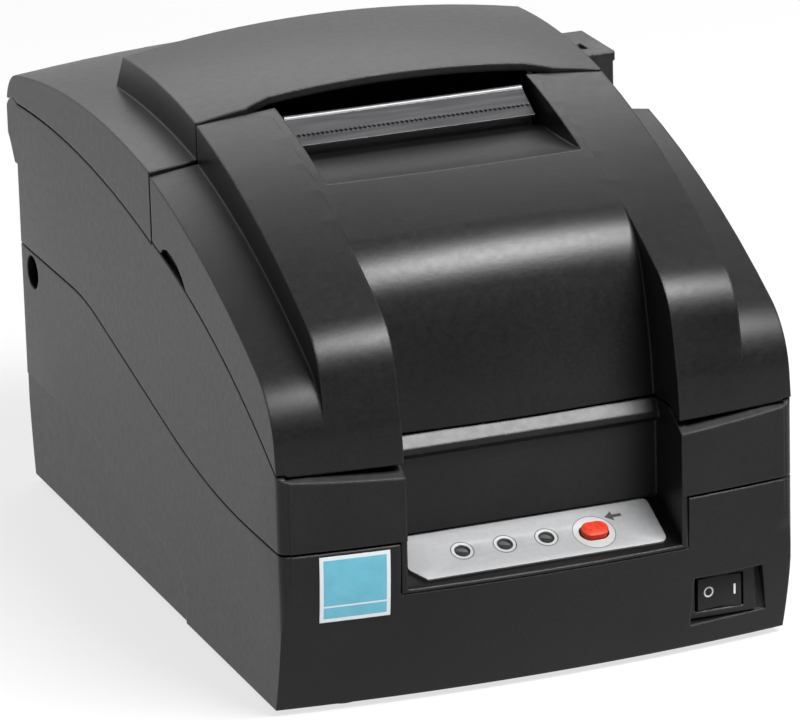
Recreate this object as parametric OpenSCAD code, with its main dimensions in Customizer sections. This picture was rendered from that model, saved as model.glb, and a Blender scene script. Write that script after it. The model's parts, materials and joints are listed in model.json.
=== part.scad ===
// Impact receipt printer: a desktop case with two hinged covers over a dot-matrix print mechanism.
// Millimetres. X is the width, Y runs from the front (minus) to the back, Z is up, and the printer
// stands on z = 0 with the origin under the middle of its bounding box.

/* [Case] */
// Width across the sides
body_w = 161.5; // [161:0.5:164]
// Furthest point of the bowed front face
front_y = -125.3; // [-126:0.1:-125]
// Outside face of the rear wall
back_y = 119.3; // [119:0.1:119.6]
// Radius of the bow of the front face, seen from above
bow_r = 580; // [560:10:600]
// Thickness of the plastic walls
wall = 2.5; // [2.2:0.1:2.7]
// Height of the rubber feet below the case
foot_h = 2; // [2:0.5:3]
// Width of the seams between the cases and covers
seam_gap = 0.8; // [0.6:0.1:0.8]
// Gap between the front cover and the paper cover
split_gap = 1.1; // [0.8:0.1:1.2]
// Height of the case seam at the front
seam_front_z = 52.3; // [52:0.1:52.6]
// Height of the case seam at the back
seam_back_z = 79.8; // [79:0.1:80]

/* [Covers] */
// Height of the lower edge of the front cover
cover_seam_z = 75.5; // [75:0.1:76]
// Half of the width of the raised centre band
band_half = 65.5; // [65:0.1:65.9]
// Half of the width of the recessed centre panel
panel_half = 43.2; // [43:0.1:43.4]
// Half of the width of the paper exit
exit_half = 40.5; // [40:0.1:40.6]
// Seam plane between the front cover and the paper cover
split_y = -14.8; // [-15:0.1:-14.6]
// Top of the raised band of the paper cover
top_z = 162.3; // [162:0.1:162.6]
// Distance between the axis of the paper cover and the rearmost point
hinge_r = 7; // [6.8:0.1:7.2]

/* [Controls] */
// Slope of the control shelf
shelf_tilt = 26; // [25:1:27]
// Length of the control overlay
overlay_w = 80; // [79:0.5:81]
// Width of the control overlay up the slope
overlay_h = 18.6; // [18:0.2:19]
// Travel of the feed button
button_travel = 0.8; // [0.5:0.1:1]
// Diameter of the lamp windows
lamp_d = 4.8; // [4.6:0.1:5]

/* [Mechanism] */
// Half of the distance between the side plates of the frame
frame_half = 66; // [66:0.5:67]
// Thickness of the sheet steel of the frame
sheet_t = 2; // [1.6:0.1:2]
// Radius of the rod that carries the print carriage
rod_r = 3; // [2.8:0.1:3.2]
// Radius of the second guide rod
guide_r = 2; // [1.9:0.1:2.1]
// Radius of the feed shaft
feed_shaft_r = 2.5; // [2.4:0.1:2.6]
// Radius of the rubber feed rollers
roller_r = 7; // [6.9:0.1:7]
// Running clearance of shafts in their bores
fit = 0.05; // [0.03:0.01:0.08]
// Radius of the paper bin, for rolls up to 83 mm
bin_r = 45; // [44:0.5:45]

/* [Hidden] */
$fn = 72;
half_w = body_w / 2;
in_w = half_w - wall;
case_z = foot_h;
rear_y = -front_y;
eps = 0.01;

plastic = [0.16, 0.16, 0.17];
plastic_dark = [0.1, 0.1, 0.11];
steel = [0.72, 0.73, 0.75];
silver = [0.8, 0.81, 0.82];
rubber = [0.08, 0.08, 0.08];
motor_grey = [0.45, 0.46, 0.48];
board_green = [0.1, 0.32, 0.2];
white_part = [0.88, 0.88, 0.85];

// Front cover and front of the case: big soft arcs in the side view
top_arc = [42.9, -131.8];      // centre of the arc along the top of the band
top_arc_r = 293;
shoulder_arc = [51.3, -169.3]; // centre of the arc along the top of the shoulders
shoulder_arc_r = 320;
face_r = 150;                  // gentle curve of the front face in the side view
face_z = 66;                   // height where the front face is furthest forward
face_y = front_y + 0.8;
panel_y = front_y + 19.3;      // front of the recessed panel
band_round = 24;
shoulder_round = 26;
panel_round = 28;
pole = [279, -172.6];          // axis that the front cover is swept about
pole_tilt = 55;
pole_r = 475;                  // distance of the skin from that axis

// Paper cover
rear_arc_r = 363;
rear_arc_y = 41.3;
rear_arc_top = 148;
rear_crown_r = 700;
rear_round = 14;
lip_arc_r = 265;
lip_arc_y = 32.3;
lip_crown_r = 360;
band_end_y = 51.3;
paper_axis = [rear_y - hinge_r, 119];
paper_rod_r = 2;
ear_r = 8.2;                   // the ears' round top, cut flat at the back

// Side seams: circles that the cover edges follow
cover_edge = [37.1, -162.9];
cover_edge_r = 285;
skirt_edge = [83.3, -318.5];
skirt_edge_r = 446;

// Front cover hinge
front_axis = [-114.7, 60];
front_pin_r = 1.5;
arm_x = 60;
arm_w = 5;

// Release lever
lever_axis = [20.6, 110];
lever_x0 = 69.4;
lever_x1 = 80.2;
lever_top = 150;
lever_pin_r = 2;

// Control shelf: the foot of its slope and the level of the case cut-out below it
cut_half = 45.4;
cut_z = 36.2;
shelf_foot = [-120.4, 37.6];
shelf_len = 19.6;
lamp_x = [-21.9, -8.5, 4.6];
lamp_v = 9.6;
button_x = 19.4;
button_v = 8.6;
button_w = 8.2;
button_h = 5.6;

// Power switch at the right of the front
switch_c = [59.4, 17.8];
switch_w = 23;
switch_h = 15.4;
switch_floor = -114;
rocker_axis = [58.3, -110.6];

// Print mechanism: places in the side view
rod_c = [-64, 90];
guide_c = [-86, 84];
feed_c = [-34, 92];
idler_c = [-52.4, 78.2];
pinion_c = [-44.4, 66.7];
pinch_c = [-45.2, 92];
pinch_r = 4;
gear_m = 1;
feed_teeth = 28;
idler_teeth = 18;
pinion_teeth = 10;
gear_x = 70;
belt_z = 56;
belt_x = [-46, 56];
pulley_r = 6;
cross_y = -89.5;
platen_y = -37;
bin_c = [60, 75];
deck_z = 104;
post_xy = [[58, -82], [58, -12]];
boss_xy = [[72.5, -103], [72.5, 86]];
foot_xy = [[58, -103], [62, 98]];

// ---------------------------------------------------------------- helpers

function unit(v) = v / norm(v);
function turn(a) = [cos(a), sin(a)];
function arc(c, r, a0, a1, n = 8) = [for (i = [0 : n]) c + r * turn(a0 + (a1 - a0) * i / n)];

// The front one of the two points where two circles meet
function meet(c1, r1, c2, r2) =
    let (d = norm(c2 - c1))
    let (a = (r1 * r1 - r2 * r2 + d * d) / (2 * d))
    let (h = sqrt(r1 * r1 - a * a))
    let (u = (c2 - c1) / d)
    let (m = c1 + a * u)
    let (p = m + h * [-u[1], u[0]])
    let (q = m - h * [-u[1], u[0]])
    p[0] < q[0] ? p : q;

// An outline drawn in the side view (Y, Z), made solid from x0 to x1
module side_slab(x0, x1)
    translate([x0, 0, 0])
        rotate([90, 0, 90])
            linear_extrude(x1 - x0)
                children();

module both_sides() {
    children();
    mirror([1, 0, 0])
        children();
}

// A side-view outline swept through a shallow arc about an axis in the X = 0 plane, which
// crowns the top and bows the front in one surface
module swept(at, tilt, reach = 13)
    translate([0, at[0], at[1]])
        rotate([tilt, 0, 0])
            rotate([0, -90, 90])
                rotate([0, 0, -reach])
                    rotate_extrude(angle = 2 * reach, $fn = 360)
                        rotate(-(90 + tilt))
                            translate(-at)
                                children();

// Side outline with a long arc on top, a gentle arc in front and a round between them.
// t moves the whole outline inwards for the inside of a wall, and steps sets how fine it is.
module nose(top_c, top_r, face, round, t = 0, steps = 12) {
    face_c = [face + face_r, face_z];
    round_c = meet(top_c, top_r - round, face_c, face_r - round);
    a_face = atan2(round_c[1] - face_c[1], round_c[0] - face_c[0]);
    a_top = atan2(round_c[1] - top_c[1], round_c[0] - top_c[0]);
    polygon(concat(arc(round_c, round - t, a_face, a_top, steps),
        arc(top_c, top_r - t, a_top - 2, 97, floor(steps * 0.7)),
        [[25, 120], [25, 60 - 3 * t]],
        arc(face_c, face_r - t, 182 + t, a_face + 3, 3)));
}

// A cylinder along X, given its place in the side view
module rod_x(c, r, x0, x1)
    translate([x0, c[0], c[1]])
        rotate([0, 90, 0])
            cylinder(r = r, h = x1 - x0);

module rod_y(x, z, r, y0, y1)
    translate([x, y0, z])
        rotate([-90, 0, 0])
            cylinder(r = r, h = y1 - y0);

module block(p0, p1)
    translate(p0)
        cube(p1 - p0);

// Outline of the case seen from above, t inside the outer skin
module plan(t = 0, corner = 3)
    intersection() {
        translate([0, front_y + bow_r])
            circle(bow_r - t, $fn = 720);
        hull_free_rect(half_w - t, front_y, back_y - t, max(corner - t, 0.5));
    }

// Rectangle whose corners are round, as a union of squares and circles
module hull_free_rect(hw, y0, y1, r) {
    front = front_y + (bow_r - sqrt(bow_r * bow_r - half_w * half_w));
    for (x = [-1, 1]) {
        translate([x * (hw - r), y1 - r])
            circle(r);
        translate([x * (hw - r), front + (half_w - hw) + r])
            circle(r);
    }
    translate([-hw, front + (half_w - hw) + r])
        square([2 * hw, y1 - r - front - (half_w - hw) - r]);
    translate([-hw + r, y0 - 5])
        square([2 * (hw - r), y1 - y0 + 5]);
}

// The S-shaped seam between the two cases, from the front to the back, raised by dz
seam_angle = 13.8;
seam_rear_r = 100;
seam_front_r = 284;
seam_rear_y = 65.3;
function seam_line(dz) =
    let (rear_c = [seam_rear_y, seam_back_z - seam_rear_r + dz])
    let (rear_end = rear_c + seam_rear_r * turn(90 + seam_angle))
    let (front_top = seam_front_z + dz + seam_front_r * (1 - cos(seam_angle)))
    let (front_end_y = rear_end[0] - (rear_end[1] - front_top) / tan(seam_angle))
    let (front_c = [front_end_y - seam_front_r * sin(seam_angle), seam_front_z + dz + seam_front_r])
    concat([[-140, seam_front_z + dz]],
        arc(front_c, seam_front_r, 270, 270 + seam_angle),
        arc(rear_c, seam_rear_r, 90 + seam_angle, 90),
        [[140, seam_back_z + dz]]);

// ---------------------------------------------------------------- cases

// Solid form of the lower case, t inside its skin: the front leans back towards the foot
module lower_form(t) {
    lean_r = 154;
    intersection() {
        swept([front_y + bow_r, 0], 90, 16)
            intersection() {
                translate([front_y + lean_r, seam_front_z])
                    circle(lean_r - t, $fn = 360);
                translate([front_y - 1, case_z + t])
                    square([rear_y - front_y, 100]);
            }
        linear_extrude(100)
            plan(t);
        side_slab(-half_w, half_w)
            polygon(concat([[back_y + 2, case_z + t - eps], [-140, case_z + t - eps]],
                seam_line(t == 0 ? -seam_gap / 2 : 5)));
        side_slab(-half_w, half_w)
            translate([back_y - 300 - t, 52])
                circle(300, $fn = 720);
    }
}

module screw_boss_lower(at) {
    translate([at[0], at[1], case_z + wall - eps])
        cylinder(r = 4.5, h = 40 - case_z - wall);
    block([at[0], at[1] - 1, case_z + wall - eps], [in_w + 0.5, at[1] + 1, 36]);
}

module lower_case() color(plastic) {
    difference() {
        union() {
            difference() {
                lower_form(0);
                lower_form(wall);
                // cut-out for the control shelf
                block([-cut_half, front_y - 5, cut_z], [cut_half, -100, 90]);
            }
            // pocket for the power switch
            intersection() {
                block([switch_c[0] - switch_w / 2 - 2, front_y, switch_c[1] - switch_h / 2 - 3],
                    [switch_c[0] + switch_w / 2 + 4.6, switch_floor + 2, switch_c[1] + switch_h / 2 + 2]);
                lower_form(0);
            }
            both_sides()
                for (p = boss_xy)
                    screw_boss_lower(p);
            // posts under the mechanism frame
            both_sides()
                for (p = post_xy)
                    translate([p[0], p[1], case_z + wall - eps])
                        cylinder(r = 4, h = 16 - case_z - wall + eps);
            // posts under the main board
            both_sides()
                for (y = [14, 104])
                    translate([60, y, case_z + wall - eps])
                        cylinder(r = 3, h = 8 - case_z - wall + eps);
        }
        // recess of the power switch, with a leaning right wall and a sloping sill
        translate([switch_c[0], switch_floor, switch_c[1]])
            rotate([90, 0, 0])
                linear_extrude(17)
                    polygon([[-switch_w / 2, -switch_h / 2], [switch_w / 2 + 2.6, -switch_h / 2],
                        [switch_w / 2, switch_h / 2], [-switch_w / 2, switch_h / 2]]);
        side_slab(switch_c[0] - switch_w / 2, switch_c[0] + switch_w / 2 + 2.6)
            translate([switch_floor, switch_c[1] - switch_h / 2])
                polygon([[0, 0], [0, 1], [-17, 1], [-17, -4]]);
        block([switch_c[0] - 10, switch_floor - 1, switch_c[1] - 6.5],
            [switch_c[0] + 8.3, switch_floor + 5, switch_c[1] + 6.5]);
        both_sides()
            for (p = boss_xy)
                translate([p[0], p[1], 0]) {
                    cylinder(r = 3.2, h = 11);
                    cylinder(r = 1.8, h = 60);
                }
        both_sides()
            for (p = post_xy)
                translate([p[0], p[1], 6])
                    cylinder(r = 1.5, h = 20);
        both_sides()
            for (p = foot_xy)
                translate([p[0], p[1], case_z - 1])
                    cylinder(r = 6.6, h = 1.8);
        // round latch opening near the back of the left side
        rod_x([105.8, 73], 5.5, -half_w - 1, -in_w + 1);
        // soft step of the side panels
        both_sides()
            side_relief();
        // sockets in the rear wall
        rod_y(-52, 30, 6.5, back_y - 6, back_y + 1);
        block([-32, back_y - 6, 23], [-18.5, back_y + 1, 35.5]);
        block([-4.2, back_y - 6, 24], [8.2, back_y + 1, 35]);
        // cooling slots in the floor
        for (i = [0 : 5])
            block([-30 + 10 * i, 30, 0], [-27 + 10 * i, 70, case_z + wall + 1]);
    }
}

// Shallow relief of the side wall below a curve that drops towards the front
module side_relief() {
    relief = 0.7;
    fall = [[119, 36], [68, 36]];
    side_slab(half_w - relief, half_w + 1)
        polygon(concat([[125, 0], [125, 36]],
            arc([67, -84], 120, 90, 103, 5),
            arc([-1.5, 51], 30, 282, 258, 4),
            arc([-19, 7.5], 14, 110, 185, 5),
            [[-33, 0]]));
}

// Side outline of the upper case: above the case seam, below the edges of the covers
module upper_outline() {
    difference() {
        intersection() {
            polygon(concat([[140, 150], [-140, 150]], seam_line(seam_gap / 2)));
            union() {
                intersection() {
                    translate(cover_edge)
                        circle(cover_edge_r - seam_gap / 2, $fn = 360);
                    translate([-140, 40])
                        square([140 + split_y, 100]);
                }
                intersection() {
                    translate(skirt_edge)
                        circle(skirt_edge_r - seam_gap / 2, $fn = 720);
                    translate([split_y - eps, 40])
                        square([140, 100]);
                }
            }
        }
        translate([-140, cover_seam_z - seam_gap / 2])
            square([21.4, 20]);
        translate([back_y - wall, 108])
            square([20, 40]);
    }
}

// Rear ear that carries the hinge rod of the paper cover
module hinge_ear() {
    difference() {
        side_slab(in_w - 0.6, half_w) {
            intersection() {
                translate(paper_axis)
                    circle(ear_r);
                translate([rear_y - 30, 100])
                    square([30, 40]);
            }
            polygon([[paper_axis[0], 113], [rear_y - 0.6, 114.4], [back_y, 106],
                [108, 106], [108, 122], [paper_axis[0], 122]]);
            polygon([[104, 106], [104, 126.2], [paper_axis[0], 126], [paper_axis[0], 106]]);
        }
        rod_x(paper_axis, paper_rod_r, 0, half_w - 1.5);
    }
}

// The control shelf with its surround, built flat and tilted into place
module on_shelf()
    translate([0, shelf_foot[0], shelf_foot[1]])
        rotate([shelf_tilt, 0, 0])
            children();

module control_shelf() {
    difference() {
        intersection() {
            union() {
                on_shelf()
                    block([-cut_half + 0.4, -6, -wall], [cut_half - 0.4, shelf_len, 0]);
                both_sides()
                    block([panel_half, front_y, cut_z + 0.4], [cut_half - 0.4, -101, seam_front_z + 3]);
                block([-cut_half + 0.4, front_y, cut_z + 0.4], [cut_half - 0.4, -119.5, shelf_foot[1]]);
            }
            linear_extrude(100)
                plan(0.5, 3);
            block([-60, -140, cut_z + 0.4], [60, 0, 100]);
        }
        on_shelf() {
            for (x = lamp_x)
                translate([x, lamp_v, -5])
                    cylinder(r = lamp_d / 2 + 0.1, h = 10);
            translate([button_x, button_v, -5])
                button_outline(0.5, 10);
        }
    }
}

// Round-ended outline of the feed button, g larger all round
module button_outline(g, h) {
    r = button_h / 2 + g;
    for (s = [-1, 1])
        translate([s * (button_w - button_h) / 2, 0, 0])
            cylinder(r = r, h = h);
    translate([-(button_w - button_h) / 2, -r, 0])
        cube([button_w - button_h, 2 * r, h]);
}

module upper_case() color(plastic) {
    wall_y = panel_y + 1.4;
    difference() {
        union() {
            difference() {
                intersection() {
                    linear_extrude(140)
                        plan(0);
                    side_slab(-half_w, half_w)
                        upper_outline();
                }
                difference() {
                    linear_extrude(140)
                        plan(wall);
                    // walls of the centre recess
                    block([-panel_half - wall, front_y - 5, 0], [panel_half + wall, wall_y + wall, 140]);
                }
                block([-panel_half, front_y - 5, 0], [panel_half, wall_y, 140]);
                block([-cut_half, front_y - 5, 0], [cut_half, wall_y, seam_front_z + 0.2]);
                block([-panel_half - wall, front_y - 5, 78.1 - seam_gap / 2], [panel_half + wall, -100, 140]);
                block([-panel_half - wall - 1, wall_y, 0], [panel_half + wall + 1, wall_y + 5, 46]);
                // level top of the front pillars, with a bright chamfer along its outer edge
                block([-in_w, front_y, cover_seam_z - seam_gap / 2], [-panel_half - wall, -112, 140]);
                block([panel_half + wall, front_y, cover_seam_z - seam_gap / 2], [in_w, -112, 140]);
                block([-panel_half - wall - 1, front_y, cover_seam_z - seam_gap / 2], [panel_half + wall + 1, -112, 140]);
                swept([front_y + bow_r, 0], 90, 16)
                    polygon([[front_y - 1, 74.3], [front_y, 74.3], [front_y + 0.8, 75.1], [front_y + 0.8, 76],
                        [front_y - 1, 76]]);
            }
            // sill under the panel of the front cover
            side_slab(-panel_half, panel_half)
                polygon([[wall_y + 0.5, 77.8], [wall_y, 77.8], [wall_y - 2.6, 74.4],
                    [wall_y - 2.6, 72.6], [wall_y, 70.4], [wall_y + 0.5, 70.4]]);
            control_shelf();
            both_sides()
                hinge_ear();
            // pillar bases beside the shelf, and the web that joins the shelf to the recess wall
            side_slab(-panel_half - wall, panel_half + wall)
                polygon([[wall_y, 47.4], [wall_y, 54], [-100.4, 54], [-100.4, 42.5], [-104, 42.5],
                    [-102.9, 44.6], [-102.9, 47.4]]);
            // lugs of the front cover hinge
            both_sides()
                for (x = [arm_x - arm_w / 2 - 3.2, arm_x + arm_w / 2 + 0.2])
                    side_slab(x, x + 3) {
                        translate(front_axis)
                            circle(3.6);
                        translate([-121, front_axis[1] - 3.6])
                            square([121 + front_axis[0], 7.2]);
                    }
            // screw bosses hanging from the side walls
            both_sides()
                for (i = [0, 1]) {
                    p = boss_xy[i];
                    top = [64.2, 92][i];
                    translate([p[0], p[1], 40 + 0.2])
                        cylinder(r = 4.2, h = top - 40.2);
                    block([p[0] + 2, p[1] - 3, top - 9], [in_w + 0.5, p[1] + 3, top]);
                }
            // bracket for the lever pin
            block([frame_half + 2.4, lever_axis[0] - 4.5, 90], [frame_half + 3.6, lever_axis[0] + 4.5, 114.5]);
            block([frame_half + 2.4, lever_axis[0] - 4.5, 90], [in_w + 0.5, 34.5, 92]);
            // ledges that carry the paper bin
            both_sides()
                for (y = [20, 96])
                    block([in_w - 5, y - 4, deck_z - 3], [in_w + 0.5, y + 4, deck_z]);
        }
        // outer limits of the lugs and shelf inside the pillars
        difference() {
            block([-half_w - 5, front_y - 9, 0], [half_w + 5, -112, 140]);
            linear_extrude(140)
                plan(0);
        }
        both_sides()
            rod_x(front_axis, front_pin_r, arm_x - arm_w / 2 - 4, arm_x + arm_w / 2 + 4);
        both_sides()
            for (p = boss_xy)
                translate([p[0], p[1], 39])
                    cylinder(r = 1.5, h = 18);
        rod_x(lever_axis, lever_pin_r, frame_half, half_w - 1);
        rod_x(paper_axis, paper_rod_r, -half_w + 1.5, half_w - 1.5);
    }
}

// ---------------------------------------------------------------- covers

// Side outlines of the front cover: shoulders, raised band, and the recessed panel between
module shoulder_nose(t = 0)
    nose(shoulder_arc, shoulder_arc_r, face_y, shoulder_round, t);

module band_nose(t = 0) {
    shoulder_nose(t);
    nose(top_arc, top_arc_r, face_y + 0.3, band_round, t);
}

module panel_nose(t = 0)
    nose(top_arc, top_arc_r, panel_y, panel_round, t);

// Solid form of the front cover
module front_form() {
    behind = split_y - split_gap / 2;
    both_sides()
        intersection() {
            swept(pole, pole_tilt)
                shoulder_nose();
            block([band_half, -140, 60], [half_w, behind, 170]);
        }
    both_sides()
        intersection() {
            swept(pole, pole_tilt)
                band_nose();
            block([panel_half, -140, 60], [band_half, behind, 170]);
        }
    intersection() {
        swept(pole, pole_tilt)
            panel_nose();
        block([-panel_half, -140, 60], [panel_half, behind, 170]);
    }
}

// Hollow of the front cover: straight across, so the wall is thinnest at the sides of each step
function sag(x) = pole_r - sqrt(pole_r * pole_r - x * x);
module front_hollow() {
    drop = [sin(pole_tilt), -cos(pole_tilt)];
    both_sides() {
        side_slab(panel_half + wall, in_w)
            translate(sag(in_w) * drop)
                nose(shoulder_arc, shoulder_arc_r, face_y, shoulder_round, wall, 6);
        side_slab(panel_half + wall, band_half - wall)
            translate(sag(band_half) * drop)
                nose(top_arc, top_arc_r, face_y + 3, band_round, wall, 6);
    }
    side_slab(-panel_half - wall, panel_half + wall)
        translate(sag(panel_half) * drop)
            nose(top_arc, top_arc_r, panel_y, panel_round, wall, 6);
}

// Lower limit of the front cover in the side view
module front_cover_below() {
    edge = cover_seam_z + seam_gap / 2;
    polygon([[-140, 40], [-140, edge], [-118, edge], [-112, edge + 3.6], [-60, 100], [10, 110], [10, 40]]);
    intersection() {
        translate(cover_edge)
            circle(cover_edge_r + seam_gap / 2, $fn = 360);
        translate([-119.5, 40])
            square([140, 100]);
    }
}

// Hollow of the paper exit in the front cover
module exit_hollow(t) {
    polygon([[-61.9 - 2 * t, 143.4], [-61.9 - t, 142.4 - t], [-57, 141.5 - t], [-50, 141.1 - t],
        [-40, 141 - t], [-26 + 2 * t, 141 - t], [-26 + 2 * t, 170], [-100, 170]]);
}

module front_cover() color(plastic) {
    difference() {
        union() {
            difference() {
                front_form();
                front_hollow();
            }
            // tray of the paper exit
            intersection() {
                difference() {
                    side_slab(-exit_half - 2, exit_half + 2)
                        exit_hollow(2);
                    side_slab(-exit_half, exit_half)
                        polygon([[-26, 120], [-26, 170], [0, 170], [0, 120]]);
                }
                front_form();
            }
            both_sides()
                intersection() {
                    side_slab(exit_half, exit_half + 2)
                        polygon([[-62, 130], [-62, 170], [split_y - split_gap / 2, 170],
                            [split_y - split_gap / 2, 138], [-30, 134], [-50, 134]]);
                    front_form();
                }
            both_sides()
                goose_neck();
        }
        side_slab(-exit_half, exit_half) {
            exit_hollow(0);
            polygon([[-26.2, 120], [-26.2, 170], [0, 170], [0, 120]]);
        }
        both_sides()
            side_slab(in_w - 0.5, half_w + 1)
                intersection() {
                    front_cover_below();
                    square([300, 400], center = true);
                }
        block([-half_w - 1, -140, 40], [half_w + 1, -100, cover_seam_z + seam_gap / 2]);
        intersection() {
            swept([front_y + bow_r, 0], 90, 16)
                polygon([[front_y + 2.2, 70], [front_y + 2.2, cover_seam_z + seam_gap / 2],
                    [front_y + 9, cover_seam_z + 3.4], [front_y + 14, cover_seam_z + 3.4], [front_y + 14, 70]]);
            block([-in_w, -140, 60], [in_w, -90, 100]);
        }
        block([-panel_half - wall, -112.6, 40], [panel_half + wall, -90, 78.1 + seam_gap / 2]);
        // finger notches in the side edges
        both_sides()
            side_slab(half_w - 1.7, half_w + 1)
                polygon([[-46, 106], [-45, 110.2], [-41.5, 113.6], [-37.5, 116.4], [-33, 118.1], [-28.5, 118.7],
                    [-24.8, 118], [-22.4, 116.2], [-21.4, 113.5], [-21.4, 106]]);
        both_sides()
            rod_x(front_axis, front_pin_r + fit, arm_x - 6, arm_x + 6);
    }
}

// Bent hinge arm inside each front corner
module goose_neck() {
    elbow = front_axis + [14.5, 12];
    top = front_axis + [7, 38];
    side_slab(arm_x - arm_w / 2, arm_x + arm_w / 2) {
        translate(front_axis)
            circle(3.6);
        bar(front_axis, elbow, 2.2);
        translate(elbow)
            circle(2.7);
        bar(elbow, top, 2.2);
        bar(top, front_axis + [3.5, 42], 2.4);
        translate(top)
            circle(2.8);
    }
}

// Straight bar between two points of an outline
module bar(a, b, r)
    translate(a)
        rotate(atan2(b[1] - a[1], b[0] - a[0]))
            translate([0, -r])
                square([norm(b - a), 2 * r]);

// Side outlines of the paper cover
module rear_outline(t) {
    c = [rear_arc_y, rear_arc_top - rear_arc_r];
    round_c = [rear_y - rear_round, c[1] + sqrt(pow(rear_arc_r - rear_round, 2) - pow(rear_y - rear_round - rear_arc_y, 2))];
    on_top = c + (rear_arc_r - t) * unit(round_c - c);
    intersection() {
        translate(c)
            circle(rear_arc_r - t, $fn = 720);
        polygon([[split_y + split_gap / 2 - (t > 0 ? 2 : 0), 100], [split_y + split_gap / 2 - (t > 0 ? 2 : 0), 190],
            [on_top[0], 190], on_top, [rear_y - t, round_c[1]], [rear_y - t, 100]]);
    }
    translate(round_c)
        circle(rear_round - t);
}

module lip_outline(t) {
    c = [lip_arc_y, top_z - lip_arc_r];
    intersection() {
        translate(c)
            circle(lip_arc_r - t, $fn = 720);
        polygon([[split_y + split_gap / 2 - (t > 0 ? 2 : 0), 130], [split_y + split_gap / 2 - (t > 0 ? 2 : 0), 190],
            [band_end_y - t * 0.8 - 18, 190], [band_end_y - t * 0.8, 162.6], [band_end_y + 8.4 - t, 150],
            [band_end_y + 12 - t, 130]]);
    }
}

module paper_form(t) {
    intersection() {
        swept([0, rear_arc_top - rear_crown_r], 0, 8)
            rear_outline(t);
        block([-half_w + t, -20, 112], [half_w - t, 140, 190]);
    }
    intersection() {
        swept([0, top_z - lip_crown_r], 0, 13)
            lip_outline(t);
        block([-band_half + t, -20, 120], [band_half - t, 140, 190]);
    }
}

module paper_cover() color(plastic) {
    knuckle_x = in_w - 1;
    difference() {
        union() {
            difference() {
                paper_form(0);
                paper_form(wall);
            }
            rod_x(paper_axis, hinge_r - 0.2, -knuckle_x, -30);
            rod_x(paper_axis, hinge_r - 0.2, 30, knuckle_x);
            both_sides()
                side_slab(30, knuckle_x)
                    polygon([paper_axis, paper_axis + [hinge_r - 0.3, 0], [rear_y - 0.3, 123], [rear_y - 3, 127],
                        [118, 131], paper_axis + [-3, 6]]);
            // side wall of the lever pocket, cut away over the side plate of the mechanism frame
            intersection() {
                difference() {
                    block([65.4, split_y + split_gap / 2, 116], [68.4, 51, 190]);
                    block([65, split_y - 1, 115], [69, -1.2, 128.8]);
                }
                paper_form(wall - 0.2);
            }
            // stiffening ribs under the top
            both_sides()
                for (x = [20, 50])
                    intersection() {
                        block([x, 3, 132], [x + 1.6, 100, 190]);
                        paper_form(wall - 0.2);
                    }
            // arm of the hold-down roller, left plain
            intersection() {
                block([-48, 2, 130], [48, 4, 190]);
                paper_form(wall - 0.2);
            }
        }
        // everything below the skirt line, and the rear edge above the ears
        both_sides()
            side_slab(in_w - 0.6, half_w + 1) {
                intersection() {
                    translate(skirt_edge)
                        circle(skirt_edge_r + seam_gap / 2, $fn = 720);
                    translate([-30, 90])
                        square([200, 60]);
                }
                translate(paper_axis)
                    circle(ear_r + 0.4);
                translate([100, 90])
                    square([paper_axis[0] - 100, 36.6]);
                translate([paper_axis[0] - 1, 90])
                    square([20, 29]);
            }
        side_slab(-in_w - 1, in_w + 1)
            polygon([[-20, 90], [-20, 118], [-12, 118.5], [40, 126], [100, 126.8], [108, 122], [111, 112], [111, 90]]);
        // opening of the paper exit under the lip
        translate([0, 0, 120])
            linear_extrude(70)
                polygon([[-49, split_y - 3], [-49, split_y + 0.7], [-41, split_y + 3.9], [41, split_y + 3.9],
                    [49, split_y + 0.7], [49, split_y - 3]]);
        // slot for the release lever
        block([68, split_y - 5, 90], [half_w + 1, 49, 170]);
        rod_x(paper_axis, paper_rod_r + fit, -half_w, half_w);
        // clear of the back wall of the case
        block([-in_w - 1, back_y - wall - 0.6, 90], [in_w + 1, back_y + 0.4, 112.2]);
    }
}

// ---------------------------------------------------------------- release lever

module cover_lever() color(plastic_dark) {
    difference() {
        union() {
            block([lever_x0, 9, lever_top - 3], [lever_x1, 35.6, lever_top]);
            block([lever_x0, 9, 127], [lever_x1 - 0.7, 12, lever_top - 3 + eps]);
            block([lever_x0 + 0.9, 9, lever_axis[1]], [in_w - 0.4, 14, 128]);
            block([lever_x0 + 0.9, 9, 116], [lever_x0 + 2.9, 30, lever_top - 3 + eps]);
            rod_x(lever_axis, 4.2, lever_x0 + 0.9, in_w - 0.4);
            side_slab(lever_x0 + 0.9, in_w - 0.4)
                polygon([[9, 118], [9, lever_axis[1]], lever_axis + [0, -4], [34, 104.7], [34, 107.5],
                    lever_axis + [5, 2], [22, 120], [14, 124]]);
        }
        rod_x(lever_axis, lever_pin_r + fit, lever_x0 - 3, half_w);
        block([lever_x0 + 1.4, 15.5, lever_top - 1.4], [lever_x0 + 4.6, 22, lever_top + 1]);
    }
}

module lever_pin() color(steel)
    rod_x(lever_axis, lever_pin_r, frame_half + 2.4, half_w - 1.2);

// Return spring under the rear foot of the lever, a plain coil
module lever_spring() color(steel)
    translate([74, 30.5, 92.5])
        linear_extrude(height = 11.6, twist = -360 * 5, slices = 80)
            translate([2.3, 0])
                circle(r = 0.5, $fn = 6);

// ---------------------------------------------------------------- front controls

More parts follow.
